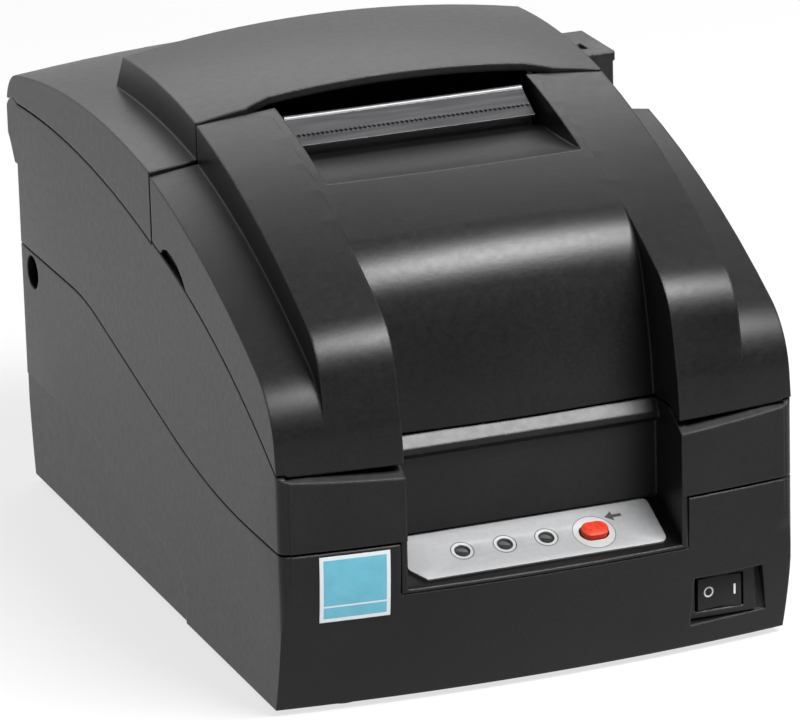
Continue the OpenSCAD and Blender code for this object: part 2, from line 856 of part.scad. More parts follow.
module tear_bar() color(silver) {
    top = [-16.4, 150.2];
    foot = [-27, 144.2];
    tooth = 1.5;
    side_slab(-38.4, 38.4) {
        bar(top, foot, 0.6);
        translate(top)
            circle(1);
        polygon([[-24.2, 145.8], [-24.2, 134], [-28.2, 128], [-28.2, 127], [-26.8, 127], [-26.8, 127.6],
            [-22.8, 133.4], [-22.8, 146.6]]);
    }
    // row of teeth along the middle of the slope
    translate([0, (top[0] + foot[0]) / 2 - 1.6, (top[1] + foot[1]) / 2 - 0.9])
        rotate([atan2(top[1] - foot[1], top[0] - foot[0]), 0, 0])
            for (i = [-25 : 25])
                translate([i * tooth, 0, 0])
                    rotate([0, 0, 45])
                        translate([-0.45, -0.45, 0])
                            cube([0.9, 0.9, 1.3]);
    block([-frame_half, -28.2, 117], [frame_half, -26.8, 128.5]);
}

module control_overlay() color(silver) {
    r = 2.5;
    hw = overlay_w / 2;
    on_shelf()
        translate([0, 0.6, 0])
            difference() {
                linear_extrude(0.8)
                    difference() {
                        union() {
                            translate([-hw, r])
                                square([overlay_w, overlay_h - 2 * r]);
                            translate([-hw + r, 0])
                                square([overlay_w - 2 * r, overlay_h]);
                            for (x = [-hw + r, hw - r])
                                for (y = [r, overlay_h - r])
                                    translate([x, y])
                                        circle(r);
                        }
                        polygon([[-hw - 1, -1], [-hw + 5, -1], [-hw - 1, 6]]);
                    }
                for (x = lamp_x)
                    translate([x, lamp_v - 0.6, -1])
                        cylinder(r = lamp_d / 2, h = 3);
                translate([button_x, button_v - 0.6, -1])
                    button_outline(0.5, 3);
            }
}

module status_leds() color([0.12, 0.13, 0.12])
    on_shelf()
        for (x = lamp_x)
            translate([x, lamp_v, -3.4]) {
                cylinder(r = lamp_d / 2 - 0.15, h = 3.7);
                translate([0, 0, 0])
                    cylinder(r = lamp_d / 2 + 0.8, h = 0.8);
            }

module feed_button() color([0.93, 0.35, 0.12])
    on_shelf()
        translate([button_x, button_v, 0]) {
            translate([0, 0, -3.8])
                button_outline(0, 6.2);
            translate([0, 0, -3.9])
                button_outline(0.9, 0.9);
        }

module control_board() color(board_green)
    on_shelf() {
        block([-36, 2.2, -7.8], [36, 16.5, -6.2]);
        // lamp bodies and key switch
        for (x = lamp_x)
            translate([x, lamp_v, -6.2])
                cylinder(r = 1.5, h = 2.8);
        translate([button_x - 3, button_v - 3, -6.2])
            cube([6, 6, 0.9]);
        for (x = [-33, 33])
            translate([x, 12, -6.2])
                cylinder(r = 1.6, h = 3.7);
    }

module power_switch_body() color(plastic_dark) {
    difference() {
        union() {
            block([switch_c[0] - 9.9, switch_floor - 0.8, switch_c[1] - 6.4],
                [switch_c[0] + 8.2, switch_floor + 14, switch_c[1] + 6.4]);
            block([switch_c[0] - 11.4, switch_floor - 1.2, switch_c[1] - 7.2],
                [switch_c[0] + 10.8, switch_floor, switch_c[1] + 7.2]);
        }
        block([rocker_axis[0] - 7.9, switch_floor - 3, switch_c[1] - 5.3],
            [rocker_axis[0] + 7.9, switch_floor + 10, switch_c[1] + 5.3]);
    }
    // pivot pins of the rocker
    for (s = [-1, 1])
        translate([rocker_axis[0], rocker_axis[1], switch_c[1] + s * 4.8 - 0.55])
            cylinder(r = 1.2, h = 1.1);
}

// Rocker with two shallow faces that meet over its pivot
module power_rocker() color(plastic_dark) {
    face = switch_floor - 0.6;
    difference() {
        translate([0, 0, switch_c[1] - 5])
            linear_extrude(10)
                union() {
                    translate(rocker_axis)
                        circle(3);
                    polygon([rocker_axis + [-7, -0.6], rocker_axis + [-7, face - rocker_axis[1] - 0.9],
                        [rocker_axis[0], face], rocker_axis + [7, face - rocker_axis[1] - 0.9],
                        rocker_axis + [7, -0.6]]);
                }
        for (s = [-1, 1])
            translate([rocker_axis[0], rocker_axis[1], switch_c[1] + s * 4.8 - 0.75])
                cylinder(r = 1.2 + fit, h = 1.5);
    }
}

module front_sticker() color([0.36, 0.7, 0.8])
    intersection() {
        swept([front_y + bow_r, 0], 90, 16)
            difference() {
                translate([front_y + 154, seam_front_z])
                    circle(154.25, $fn = 360);
                translate([front_y + 154, seam_front_z])
                    circle(154, $fn = 360);
            }
        block([-69.6, front_y - 2, 30.4], [-48.6, -100, 50.9]);
    }

module rubber_feet() color(rubber)
    both_sides()
        for (p = foot_xy)
            translate([p[0], p[1], 0])
                cylinder(r = 6.5, h = foot_h + 0.8);

// ---------------------------------------------------------------- mechanism frame

module frame_side()
    polygon([[-96, 16], [-96, 88], [-80, 101], [-74, 112], [-50, 117], [-20, 126], [-2, 128], [-2, 16]]);

module mech_frame() color(steel) {
    difference() {
        union() {
            both_sides()
                side_slab(frame_half, frame_half + sheet_t)
                    frame_side();
            block([-frame_half - sheet_t, -96, 16], [frame_half + sheet_t, -2, 16 + sheet_t]);
            block([-frame_half - 1, cross_y, 16], [frame_half + 1, cross_y + 1.5, 76]);
            block([-frame_half - 1, -6, 16], [frame_half + 1, -4.5, 70]);
            // tabs under the ribbon cassette
            both_sides()
                block([57, -70, 110.4], [frame_half + 1, -58, 112]);
        }
        both_sides() {
            rod_x(rod_c, rod_r, frame_half - 1, frame_half + 3);
            rod_x(guide_c, guide_r, frame_half - 1, frame_half + 3);
            rod_x(feed_c, feed_shaft_r + fit, frame_half - 1, frame_half + 3);
            rod_x(pinch_c, 1.5 + fit, frame_half - 1, frame_half + 3);
            for (p = post_xy)
                translate([p[0], p[1], 10])
                    cylinder(r = 1.7, h = 12);
        }
        rod_x(idler_c, 2, frame_half - 1, frame_half + 3);
        rod_x(pinion_c, 4, frame_half - 1, frame_half + 3);
        rod_y(belt_x[0], belt_z, 4, cross_y - 1, cross_y + 3);
        rod_y(belt_x[1], belt_z, 2, cross_y - 1, cross_y + 3);
        // lightening windows
        block([-30, cross_y - 1, 30], [40, cross_y + 3, 66]);
        block([-40, -7, 26], [40, -3, 60]);
    }
}

module platen_bar() color(steel)
    difference() {
        block([-frame_half, platen_y, 102], [frame_half, platen_y + 6, 114]);
        for (x = [-58, 58])
            rod_y(x, 108, 1.6, platen_y - 1, platen_y + 7);
    }

module carriage_rod() color(steel)
    rod_x(rod_c, rod_r, -frame_half - 3, frame_half + 3);

module guide_rod() color(steel)
    rod_x(guide_c, guide_r, -frame_half - 3, frame_half + 3);

module print_carriage() color(plastic_dark) {
    difference() {
        union() {
            block([-16, -88.9, 79.4], [16, -56.5, 88]);
            block([-16, -70, 86], [16, -57.5, 96]);
            block([-15, -80, 87], [15, -57.5, 96]);
            // belt clamp
            block([-4, -95.4, 64.2], [12, -90.2, 80.5]);
            block([-4, -95.4, 79.4], [12, -85, 84]);
        }
        rod_x(rod_c, rod_r + fit, -20, 20);
        rod_x(guide_c, guide_r + fit, -20, 20);
        // slit that holds the belt
        block([-5, -94.6, 62], [13, -91.2, 63.4]);
    }
}

module print_head() color(motor_grey) {
    block([-12, -79, 96], [12, -50, 110]);
    block([-6, -51, 103], [6, -42, 112.6]);
    side_slab(-3.5, 3.5)
        polygon([[-43, 103.5], [-39.3, 105.5], [-39.3, 110.5], [-43, 112.4]]);
    // cooling fins
    for (i = [0 : 6])
        block([-15, -78 + i * 4, 97], [15, -76.6 + i * 4, 112.6]);
}

// Toothed wheel along X, with a tooth pointing at the angle a
module gear(c, teeth, x0, x1, a = 0) {
    pitch_r = gear_m * teeth / 2;
    pitch_a = 360 / teeth;
    root = pitch_r - 1.25 * gear_m;
    tip = pitch_r + 0.85 * gear_m;
    side_slab(x0, x1)
        translate(c) {
            circle(root);
            for (i = [0 : teeth - 1])
                rotate(a + i * pitch_a)
                    polygon([[root - 0.4, -0.26 * PI * gear_m], [pitch_r, -0.19 * PI * gear_m],
                        [tip, -0.1 * PI * gear_m], [tip, 0.1 * PI * gear_m],
                        [pitch_r, 0.19 * PI * gear_m], [root - 0.4, 0.26 * PI * gear_m]]);
        }
}

function heading(a, b) = atan2(b[1] - a[1], b[0] - a[0]);

module feed_shaft() color(steel)
    rod_x(feed_c, feed_shaft_r, -frame_half - 4, gear_x + 5.4);

module feed_rollers() color(rubber)
    for (x = [-34, 16])
        difference() {
            rod_x(feed_c, roller_r, x, x + 18);
            rod_x(feed_c, feed_shaft_r, x - 1, x + 19);
        }

module feed_gear() color(white_part)
    difference() {
        union() {
            gear(feed_c, feed_teeth, gear_x, gear_x + 4, heading(feed_c, idler_c));
            rod_x(feed_c, 5, gear_x - 1.4, gear_x + 5);
        }
        rod_x(feed_c, feed_shaft_r, gear_x - 3, gear_x + 8);
    }

module idler_gear() color(white_part)
    difference() {
        union() {
            gear(idler_c, idler_teeth, gear_x, gear_x + 4,
                heading(idler_c, feed_c) + 180 / idler_teeth);
            rod_x(idler_c, 4, gear_x - 1.4, gear_x + 4);
        }
        rod_x(idler_c, 2 + fit, gear_x - 3, gear_x + 8);
    }

module idler_stud() color(steel) {
    rod_x(idler_c, 2, frame_half, gear_x + 5.4);
    rod_x(idler_c, 3.2, gear_x + 4.2, gear_x + 5.4);
}

module motor_pinion() color([0.78, 0.62, 0.3]) {
    // tooth of the idler that points nearest to the pinion, then half a tooth on
    idler_a = heading(idler_c, feed_c) + 180 / idler_teeth;
    to_pinion = heading(idler_c, pinion_c);
    step = 360 / idler_teeth;
    off = (to_pinion - idler_a) / step - floor((to_pinion - idler_a) / step);
    difference() {
        gear(pinion_c, pinion_teeth, gear_x, gear_x + 4,
            to_pinion + 180 + 180 / pinion_teeth + off * 360 / pinion_teeth);
        rod_x(pinion_c, 1.5, gear_x - 1, gear_x + 8);
    }
    rod_x(pinion_c, 1.5, gear_x - 1.4, gear_x + 4.6);
}

module feed_motor() color(motor_grey) {
    rod_x(pinion_c, 16.5, 38, frame_half);
    rod_x(pinion_c, 3.9, frame_half - 1, frame_half + 2.3);
    difference() {
        block([frame_half - 1.4, pinion_c[0] - 5, pinion_c[1] - 21], [frame_half, pinion_c[0] + 5, pinion_c[1] + 8]);
        rod_x(pinion_c - [0, 18.6], 1.4, frame_half - 3, frame_half + 1);
    }
}

module pinch_shaft() color(steel)
    rod_x(pinch_c, 1.5, -frame_half - 3, frame_half + 3);

module pinch_rollers() color(white_part)
    for (x = [-33, 17])
        difference() {
            rod_x(pinch_c, pinch_r, x, x + 16);
            rod_x(pinch_c, 1.5, x - 1, x + 17);
        }

module carriage_motor() color(motor_grey) {
    rod_y(belt_x[0], belt_z, 16.5, cross_y + 1.5, cross_y + 29);
    rod_y(belt_x[0], belt_z, 3.9, cross_y - 0.6, cross_y + 3);
}

module pulley(x, bore) {
    difference() {
        union() {
            rod_y(x, belt_z, pulley_r, -94.6, -91.4);
            rod_y(x, belt_z, pulley_r + 1.8, -95.4, -94.6 + eps);
            rod_y(x, belt_z, pulley_r + 1.8, -91.4 - eps, -90.6);
        }
        rod_y(x, belt_z, bore, -97, -90);
    }
}

module drive_pulley() color(white_part) {
    pulley(belt_x[0], 1.5);
    rod_y(belt_x[0], belt_z, 1.5, -95.4, -90.4);
}

module idler_pulley() color(white_part)
    pulley(belt_x[1], 2 + fit);

// Toothless flat belt, with the stud of the idler pulley kept in the same fixed group
module carriage_belt() color(rubber) {
    r_in = pulley_r + 0.1;
    translate([0, -91.6, 0])
        rotate([90, 0, 0])
            linear_extrude(2.8)
                difference() {
                    union() {
                        for (x = belt_x)
                            translate([x, belt_z])
                                circle(r_in + 1.1);
                        translate([belt_x[0], belt_z - r_in - 1.1])
                            square([belt_x[1] - belt_x[0], 2 * r_in + 2.2]);
                    }
                    for (x = belt_x)
                        translate([x, belt_z])
                            circle(r_in);
                    translate([belt_x[0], belt_z - r_in])
                        square([belt_x[1] - belt_x[0], 2 * r_in]);
                }
}

module ribbon_cassette() color(plastic_dark) {
    difference() {
        union() {
            block([-61.5, -79, 115], [61.5, -48, 125.4]);
            both_sides() {
                block([50.6, -49, 101], [59, -38.9, 125.4]);
                block([52, -39, 101], [59, -37.9, 115]);
            }
            // feet that sit on the tabs of the frame
            both_sides()
                block([56, -70, 112], [61.5, -58, 115.5]);
        }
        translate([-42, -66, 110])
            cylinder(r = 3 + fit, h = 20);
        // hollow that holds the ribbon, closed by the lid above
        difference() {
            block([-60, -77.4, 116.6], [60, -49.6, 123.8]);
            translate([-42, -66, 112])
                cylinder(r = 5, h = 14);
            block([30, -72, 112], [50, -55, 126]);
        }
    }
}

module ribbon() color([0.1, 0.08, 0.16])
    block([-51.9, -38.78, 102.4], [51.9, -38.56, 113.6]);

module ribbon_knob() color([0.25, 0.42, 0.62])
    translate([-42, -66, 0]) {
        translate([0, 0, 115])
            cylinder(r = 3, h = 11);
        difference() {
            translate([0, 0, 125.7])
                cylinder(r = 9, h = 3);
            for (a = [0 : 30 : 330])
                rotate(a)
                    translate([9.6, 0, 125])
                        cylinder(r = 1.4, h = 6);
        }
    }

// ---------------------------------------------------------------- paper bin and electronics

module trough(r)
    union() {
        translate(bin_c)
            circle(r, $fn = 180);
        translate([bin_c[0] - r, bin_c[1]])
            square([2 * r, 60]);
    }

module paper_bin() color(plastic_dark)
    difference() {
        union() {
            intersection() {
                side_slab(-41.5, 41.5)
                    trough(bin_r + 2);
                block([-50, 0, 20], [50, 112, deck_z + 2]);
            }
            block([-in_w + 0.3, 8, deck_z], [in_w - 0.3, 110, deck_z + 2]);
        }
        intersection() {
            side_slab(-39.5, 39.5)
                trough(bin_r);
            block([-50, 0, 20], [50, 112, 120]);
        }
        // notches round the lever and the screw posts of the case
        block([68, 0, deck_z - 1], [90, 40, deck_z + 3]);
        // window of the low-paper sensor
        block([36, 40, 52], [50, 48, 60]);
    }

module paper_end_sensor() color(plastic_dark) {
    block([41.5, 36, 50], [47, 52, 62]);
    block([40.4, 41, 53], [42, 47, 59]);
}

module main_board() color(board_green) {
    difference() {
        block([-64, 2, 8], [64, 112, 9.6]);
        both_sides()
            for (y = [14, 104])
                translate([60, y, 0])
                    cylinder(r = 1.6, h = 20);
    }
    // chips, capacitors and plugs
    block([-20, 20, 9.6], [0, 40, 12.2]);
    block([10, 24, 9.6], [24, 36, 12]);
    for (x = [30, 42, 54])
        translate([x, 60, 9.6])
            cylinder(r = 5, h = 13);
    for (x = [-60 : 14 : -32])
        block([x, 6, 9.6], [x + 10, 11, 17]);
    block([40, 20, 9.6], [62, 44, 11.6]);
}

module power_jack() color(plastic_dark)
    difference() {
        union() {
            rod_y(-52, 30, 6.3, 100, back_y - 0.4);
            block([-60, 98, 9.6], [-44, 112.8, 38]);
        }
        rod_y(-52, 30, 4.6, 104, back_y + 2);
    }

module drawer_socket() color(plastic_dark)
    difference() {
        union() {
            block([-31.8, 100, 9.6], [-18.7, 112.8, 35.3]);
            block([-31.8, 110, 23.2], [-18.7, back_y - 0.4, 35.3]);
        }
        block([-30, 106, 24.5], [-20.5, back_y + 1, 33]);
    }

module usb_socket() color(steel)
    difference() {
        union() {
            block([-4, 100, 9.6], [8, 112.8, 34.8]);
            block([-4, 110, 24.2], [8, back_y - 0.4, 34.8]);
        }
        block([-2.6, 106, 25.2], [6.6, back_y + 1, 33.6]);
    }

// ---------------------------------------------------------------- pins and screws

module paper_hinge_rod() color(steel)
    rod_x(paper_axis, paper_rod_r, -half_w + 1.7, half_w - 1.7);

module front_hinge_pins() color(steel)
    both_sides()
        rod_x(front_axis, front_pin_r, arm_x - arm_w / 2 - 3.2, arm_x + arm_w / 2 + 3.2);

module case_screws() color(steel)
    both_sides()
        for (p = boss_xy)
            translate([p[0], p[1], 0]) {
                translate([0, 0, 8.4])
                    cylinder(r = 2.9, h = 2.6);
                translate([0, 0, 11 - eps])
                    cylinder(r = 1.5, h = 42);
            }

module frame_screws() color(steel)
    both_sides()
        for (p = post_xy)
            translate([p[0], p[1], 0]) {
                translate([0, 0, 18])
                    cylinder(r = 2.9, h = 2.2);
                translate([0, 0, 7])
                    cylinder(r = 1.5, h = 11 + eps);
            }

lower_case();
upper_case();
front_cover();
paper_cover();
cover_lever();
tear_bar();
control_overlay();
feed_button();
status_leds();
power_rocker();
power_switch_body();
front_sticker();
rubber_feet();
mech_frame();
platen_bar();
carriage_rod();
guide_rod();
print_carriage();
print_head();
carriage_motor();
drive_pulley();
idler_pulley();
carriage_belt();
feed_shaft();
feed_rollers();
feed_gear();
idler_gear();
idler_stud();
motor_pinion();
feed_motor();
pinch_shaft();
pinch_rollers();
ribbon_cassette();
ribbon();
ribbon_knob();
paper_bin();
paper_end_sensor();
main_board();
power_jack();
drawer_socket();
usb_socket();
control_board();
paper_hinge_rod();
front_hinge_pins();
lever_pin();
lever_spring();
case_screws();
frame_screws();
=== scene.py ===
"""Receipt printer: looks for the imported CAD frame. Metres, same frame as the CAD."""

import json
import math

import bmesh
import bpy
from mathutils import Matrix, Vector


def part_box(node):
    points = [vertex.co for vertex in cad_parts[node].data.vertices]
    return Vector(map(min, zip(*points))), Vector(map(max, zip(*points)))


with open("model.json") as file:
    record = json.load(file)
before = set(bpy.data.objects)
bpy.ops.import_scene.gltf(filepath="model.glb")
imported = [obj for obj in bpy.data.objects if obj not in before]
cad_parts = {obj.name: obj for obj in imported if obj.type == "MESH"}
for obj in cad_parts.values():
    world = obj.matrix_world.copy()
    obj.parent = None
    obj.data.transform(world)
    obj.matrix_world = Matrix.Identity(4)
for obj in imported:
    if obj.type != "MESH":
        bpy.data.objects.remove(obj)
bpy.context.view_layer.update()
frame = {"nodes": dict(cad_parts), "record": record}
nodes = frame["nodes"]

# ---------------------------------------------------------------- camera

# viewing angles in degrees: azimuth, elevation and roll
AZ, EL, ROLL = map(math.radians, (-20.8, 18.63, -1.61))
DIST = 1.89286
TARGET = Vector((0, -0.0077, 0.06523))
back = Vector((math.sin(AZ) * math.cos(EL), -math.cos(AZ) * math.cos(EL), math.sin(EL)))
right = (-back).cross(Vector((0, 0, 1))).normalized()
up = right.cross(-back)
right, up = (
    math.cos(ROLL) * right + math.sin(ROLL) * up,
    -math.sin(ROLL) * right + math.cos(ROLL) * up,
)
cam_data = bpy.data.cameras.new("camera")
cam_data.sensor_width = 36
cam_data.lens = 278.1
cam_data.clip_end = 50
cam = bpy.data.objects.new("camera", cam_data)
cam.matrix_world = Matrix.Translation(TARGET + back * DIST) @ Matrix(
    (right, up, back)
).transposed().to_4x4()
bpy.context.collection.objects.link(cam)
bpy.context.scene.camera = cam
bpy.context.scene.view_settings.view_transform = "Standard"

# ---------------------------------------------------------------- materials

BEVEL_SAMPLES = 4


class Nodes:
    """A material's node tree with short ways to add and join nodes."""

    def __init__(self, name):
        self.mat = bpy.data.materials.new(name)
        self.mat.use_nodes = True
        self.tree = self.mat.node_tree
        self.bsdf = self.tree.nodes["Principled BSDF"]

    def add(self, kind, **values):
        node = self.tree.nodes.new(kind)
        for key, value in values.items():
            if hasattr(node, key):
                setattr(node, key, value)
            else:
                node.inputs[key.replace("_", " ")].default_value = value
        return node

    def join(self, a, b):
        self.tree.links.new(a, b)

    def coords(self):
        return self.add("ShaderNodeTexCoord").outputs["Object"]

    def noise(self, scale, detail=3.0, rough=0.5):
        n = self.add("ShaderNodeTexNoise", Scale=scale, Detail=detail, Roughness=rough)
        self.join(self.coords(), n.inputs["Vector"])
        return n.outputs["Fac"]

    def ramp(self, source, low, high, at=(0.3, 0.7)):
        """Colour that goes from low to high as the source crosses the two places in at."""
        r = self.add("ShaderNodeValToRGB")
        r.color_ramp.elements[0].position, r.color_ramp.elements[1].position = at
        r.color_ramp.elements[0].color = (*low, 1)
        r.color_ramp.elements[1].color = (*high, 1)
        self.join(source, r.inputs["Fac"])
        return r.outputs["Color"]

    def level(self, source, low, high):
        """The source's 0 to 1, moved to low to high."""
        m = self.add("ShaderNodeMapRange")
        m.inputs["To Min"].default_value = low
        m.inputs["To Max"].default_value = high
        self.join(source, m.inputs["Value"])
        return m.outputs["Result"]

    def calc(self, operation, a, b=0.0):
        m = self.add("ShaderNodeMath", operation=operation)
        for socket, value in zip(m.inputs, (a, b)):
            if isinstance(value, (int, float)):
                socket.default_value = value
            else:
                self.join(value, socket)
        return m.outputs[0]

    def along(self, direction, start=(0, 0, 0)):
        """Distance along a direction from a start point, in millimetres."""
        away = self.add("ShaderNodeVectorMath", operation="SUBTRACT")
        self.join(self.coords(), away.inputs[0])
        away.inputs[1].default_value = [c * 0.001 for c in start]
        dot = self.add("ShaderNodeVectorMath", operation="DOT_PRODUCT")
        self.join(away.outputs[0], dot.inputs[0])
        dot.inputs[1].default_value = [c * 1000 for c in direction]
        return dot.outputs["Value"]

    def between(self, value, low, high):
        above = self.calc("GREATER_THAN", value, low)
        return self.calc("MULTIPLY", above, self.calc("LESS_THAN", value, high))

    def ring(self, u, v, middle, inner, outer):
        du = self.calc("SUBTRACT", u, middle[0])
        dv = self.calc("SUBTRACT", v, middle[1])
        squares = self.calc("ADD", self.calc("MULTIPLY", du, du), self.calc("MULTIPLY", dv, dv))
        return self.between(self.calc("SQRT", squares), inner, outer)

    def box_mask(self, u, v, low, high):
        across = self.between(u, low[0], high[0])
        return self.calc("MULTIPLY", across, self.between(v, low[1], high[1]))

    def paint(self, colour, mask, over):
        """over is laid on colour where mask is 1; each is a socket or an (r, g, b)."""
        mix = self.add("ShaderNodeMix", data_type="RGBA")
        self.join(mask, mix.inputs["Factor"])
        for socket, value in ((mix.inputs["A"], colour), (mix.inputs["B"], over)):
            if isinstance(value, tuple):
                socket.default_value = (*value, 1)
            else:
                self.join(value, socket)
        return mix.outputs["Result"]

    def edge_mask(self, radius, amount):
        """Amount on sharp edges, where the rounded normal leaves the face's own, and 0 on faces."""
        bevel = self.add("ShaderNodeBevel", samples=BEVEL_SAMPLES)
        bevel.inputs["Radius"].default_value = radius
        geo = self.add("ShaderNodeNewGeometry")
        dot = self.add("ShaderNodeVectorMath", operation="DOT_PRODUCT")
        self.join(bevel.outputs["Normal"], dot.inputs[0])
        self.join(geo.outputs["Normal"], dot.inputs[1])
        return self.ramp(dot.outputs["Value"], (amount,) * 3, (0, 0, 0), (0.9, 0.985))

    def bumps(self, layers, edge=0.0):
        """Layers of (height source, distance in metres, strength); edge is the radius, in metres,
        to which sharp edges are rounded in shading."""
        last = None
        if edge:
            b = self.add("ShaderNodeBevel", samples=BEVEL_SAMPLES)
            b.inputs["Radius"].default_value = edge
            last = b.outputs["Normal"]
        for source, distance, strength in layers:
            b = self.add("ShaderNodeBump", Strength=strength, Distance=distance)
            self.join(source, b.inputs["Height"])
            if last is not None:
                self.join(last, b.inputs["Normal"])
            last = b.outputs["Normal"]
        self.join(last, self.bsdf.inputs["Normal"])


def moulded(name, colour, rough=0.36, grain=0.22, edge=0.001, ior=1.33, wear=0.2, marks=None):
    """Moulded plastic with a fine grain and slightly paler edges; marks adds a printed mask."""
    n = Nodes(name)
    cloud = n.noise(30, 2)
    fine = n.noise(950, 2, 0.6)
    pale = tuple(min(1, c * 1.12 + 0.001) for c in colour)
    dark = tuple(c * 0.9 for c in colour)
    base = n.ramp(cloud, dark, pale, (0.35, 0.65))
    speck = n.ramp(fine, (0.75, 0.75, 0.75), (1.3, 1.3, 1.3), (0.35, 0.65))
    mix = n.add("ShaderNodeMix", data_type="RGBA", blend_type="MULTIPLY")
    mix.inputs["Factor"].default_value = 1
    n.join(base, mix.inputs["A"])
    n.join(speck, mix.inputs["B"])
    worn = n.edge_mask(max(edge, 0.0003), wear)
    shown = n.paint(mix.outputs["Result"], worn, tuple(min(1, c * 2 + 0.03) for c in colour))
    if marks:
        shown = n.paint(shown, marks(n), (0.55, 0.55, 0.55))
    n.join(shown, n.bsdf.inputs["Base Color"])
    n.join(n.level(n.noise(420, 2), rough - 0.05, rough + 0.06), n.bsdf.inputs["Roughness"])
    n.bsdf.inputs["IOR"].default_value = ior
    n.bumps([(fine, 0.0001, grain)], edge)
    return n.mat


def metal(name, colour, rough=0.3, brush=(1, 1, 1), strength=0.25, edge=0.0003):
    """Metal with fine lines drawn out along one axis."""
    n = Nodes(name)
    mapping = n.add("ShaderNodeMapping")
    mapping.inputs["Scale"].default_value = brush
    n.join(n.coords(), mapping.inputs["Vector"])
    lines = n.add("ShaderNodeTexNoise", Scale=900.0, Detail=3.0)
    n.join(mapping.outputs[0], lines.inputs["Vector"])
    tint = n.ramp(lines.outputs["Fac"], tuple(c * 0.8 for c in colour), colour)
    n.join(tint, n.bsdf.inputs["Base Color"])
    n.bsdf.inputs["Metallic"].default_value = 1
    n.join(n.level(lines.outputs["Fac"], rough - 0.06, rough + 0.1), n.bsdf.inputs["Roughness"])
    n.bumps([(lines.outputs["Fac"], 0.00002, strength)], edge)
    return n.mat


def soft(name, colour, rough=0.8, scale=1500, strength=0.4):
    """Rubber or cloth: dull, with a close grain."""
    n = Nodes(name)
    grain = n.noise(scale, 4, 0.65)
    tint = n.ramp(grain, tuple(c * 0.7 for c in colour), tuple(min(1, c * 1.3) for c in colour))
    n.join(tint, n.bsdf.inputs["Base Color"])
    n.join(n.level(grain, rough - 0.1, min(1, rough + 0.1)), n.bsdf.inputs["Roughness"])
    n.bumps([(grain, 0.0001, strength)], 0.0003)
    return n.mat


def laminate(name, colour):
    """Circuit board: glossy lacquer over fine tracks."""
    n = Nodes(name)
    tracks = n.add("ShaderNodeTexBrick", Scale=90.0, Mortar_Size=0.03)
    n.join(n.coords(), tracks.inputs["Vector"])
    tracks.inputs["Color1"].default_value = (*colour, 1)
    tracks.inputs["Color2"].default_value = (*[c * 0.85 for c in colour], 1)
    tracks.inputs["Mortar"].default_value = (*[min(1, c * 1.6 + 0.01) for c in colour], 1)
    n.join(tracks.outputs["Color"], n.bsdf.inputs["Base Color"])
    n.join(n.level(n.noise(200), 0.22, 0.4), n.bsdf.inputs["Roughness"])
    n.bumps([(tracks.outputs["Fac"], 0.00003, 0.4)], 0.0002)
    return n.mat


# places on the control shelf, in millimetres: across it, and up its slope from its foot
SHELF_FOOT = (0, -120.4, 37.6)
SHELF_TILT = math.radians(26)
LAMPS = [(x, 9.6) for x in (-21.9, -8.5, 4.6)]
LAMP_RING = (3.3, 3.6)
BUTTON = (19.4, 8.6)
BUTTON_RING = (6.3, 6.6)
ARROW_TIP = (24.6, 13.8)
ARROW_HEAD_END = 27.2
ARROW_SHAFT = ((27.0, 13.2), (30.0, 14.4))


def overlay(name, colour):
    """Silver printed film: dark rings with a paler field round lamps and button, and an arrow."""
    n = Nodes(name)
    u = n.along((1, 0, 0))
    v = n.along((0, math.cos(SHELF_TILT), math.sin(SHELF_TILT)), SHELF_FOOT)
    dim, bright = tuple(c * 0.95 for c in colour), tuple(min(1, c * 1.04) for c in colour)
    paint = n.ramp(n.noise(700, 3), dim, bright)
    ink, grey = (0.015, 0.015, 0.016), (0.08, 0.08, 0.08)
    pale = tuple(c * 1.35 for c in colour)
    rings = [(middle, LAMP_RING, ink) for middle in LAMPS] + [(BUTTON, BUTTON_RING, grey)]
    for middle, (inner, outer), line in rings:
        paint = n.paint(paint, n.ring(u, v, middle, 0, outer), pale)
        paint = n.paint(paint, n.ring(u, v, middle, inner, outer), line)
    paint = n.paint(paint, n.box_mask(u, v, *ARROW_SHAFT), ink)
    slope = n.calc("MULTIPLY", n.calc("SUBTRACT", u, ARROW_TIP[0]), 0.75)
    off = n.calc("ABSOLUTE", n.calc("SUBTRACT", v, ARROW_TIP[1]))
    within = n.between(u, ARROW_TIP[0], ARROW_HEAD_END)
    head = n.calc("MULTIPLY", n.calc("LESS_THAN", off, slope), within)
    paint = n.paint(paint, head, ink)
    n.join(paint, n.bsdf.inputs["Base Color"])
    n.join(n.level(n.noise(1200), 0.33, 0.45), n.bsdf.inputs["Roughness"])
    n.bumps([(n.noise(1800, 2), 0.00003, 0.25)], 0.0002)
    return n.mat


# label film, in millimetres: width of the border, and the line's lower and upper edge
LABEL_BORDER = 1.1
LABEL_LINE = (4.6, 5.1)


def label(name, colour, low, high):
    """Label film: a plain coloured field with a white border and one white line."""
    n = Nodes(name)
    u, v = n.along((1, 0, 0)), n.along((0, 0, 1))
    dim, bright = tuple(c * 0.93 for c in colour), tuple(min(1, c * 1.05) for c in colour)
    tint = n.ramp(n.noise(250, 3), dim, bright)
    field = n.box_mask(u, v, [c + LABEL_BORDER for c in low], [c - LABEL_BORDER for c in high])
    line = n.box_mask(u, v, (low[0], low[1] + LABEL_LINE[0]), (high[0], low[1] + LABEL_LINE[1]))
    white = (0.45, 0.48, 0.5)
    n.join(n.paint(n.paint(white, field, tint), line, white), n.bsdf.inputs["Base Color"])
    n.join(n.level(n.noise(900), 0.3, 0.4), n.bsdf.inputs["Roughness"])
    n.bumps([(n.noise(1500, 2), 0.00002, 0.2)])
    return n.mat


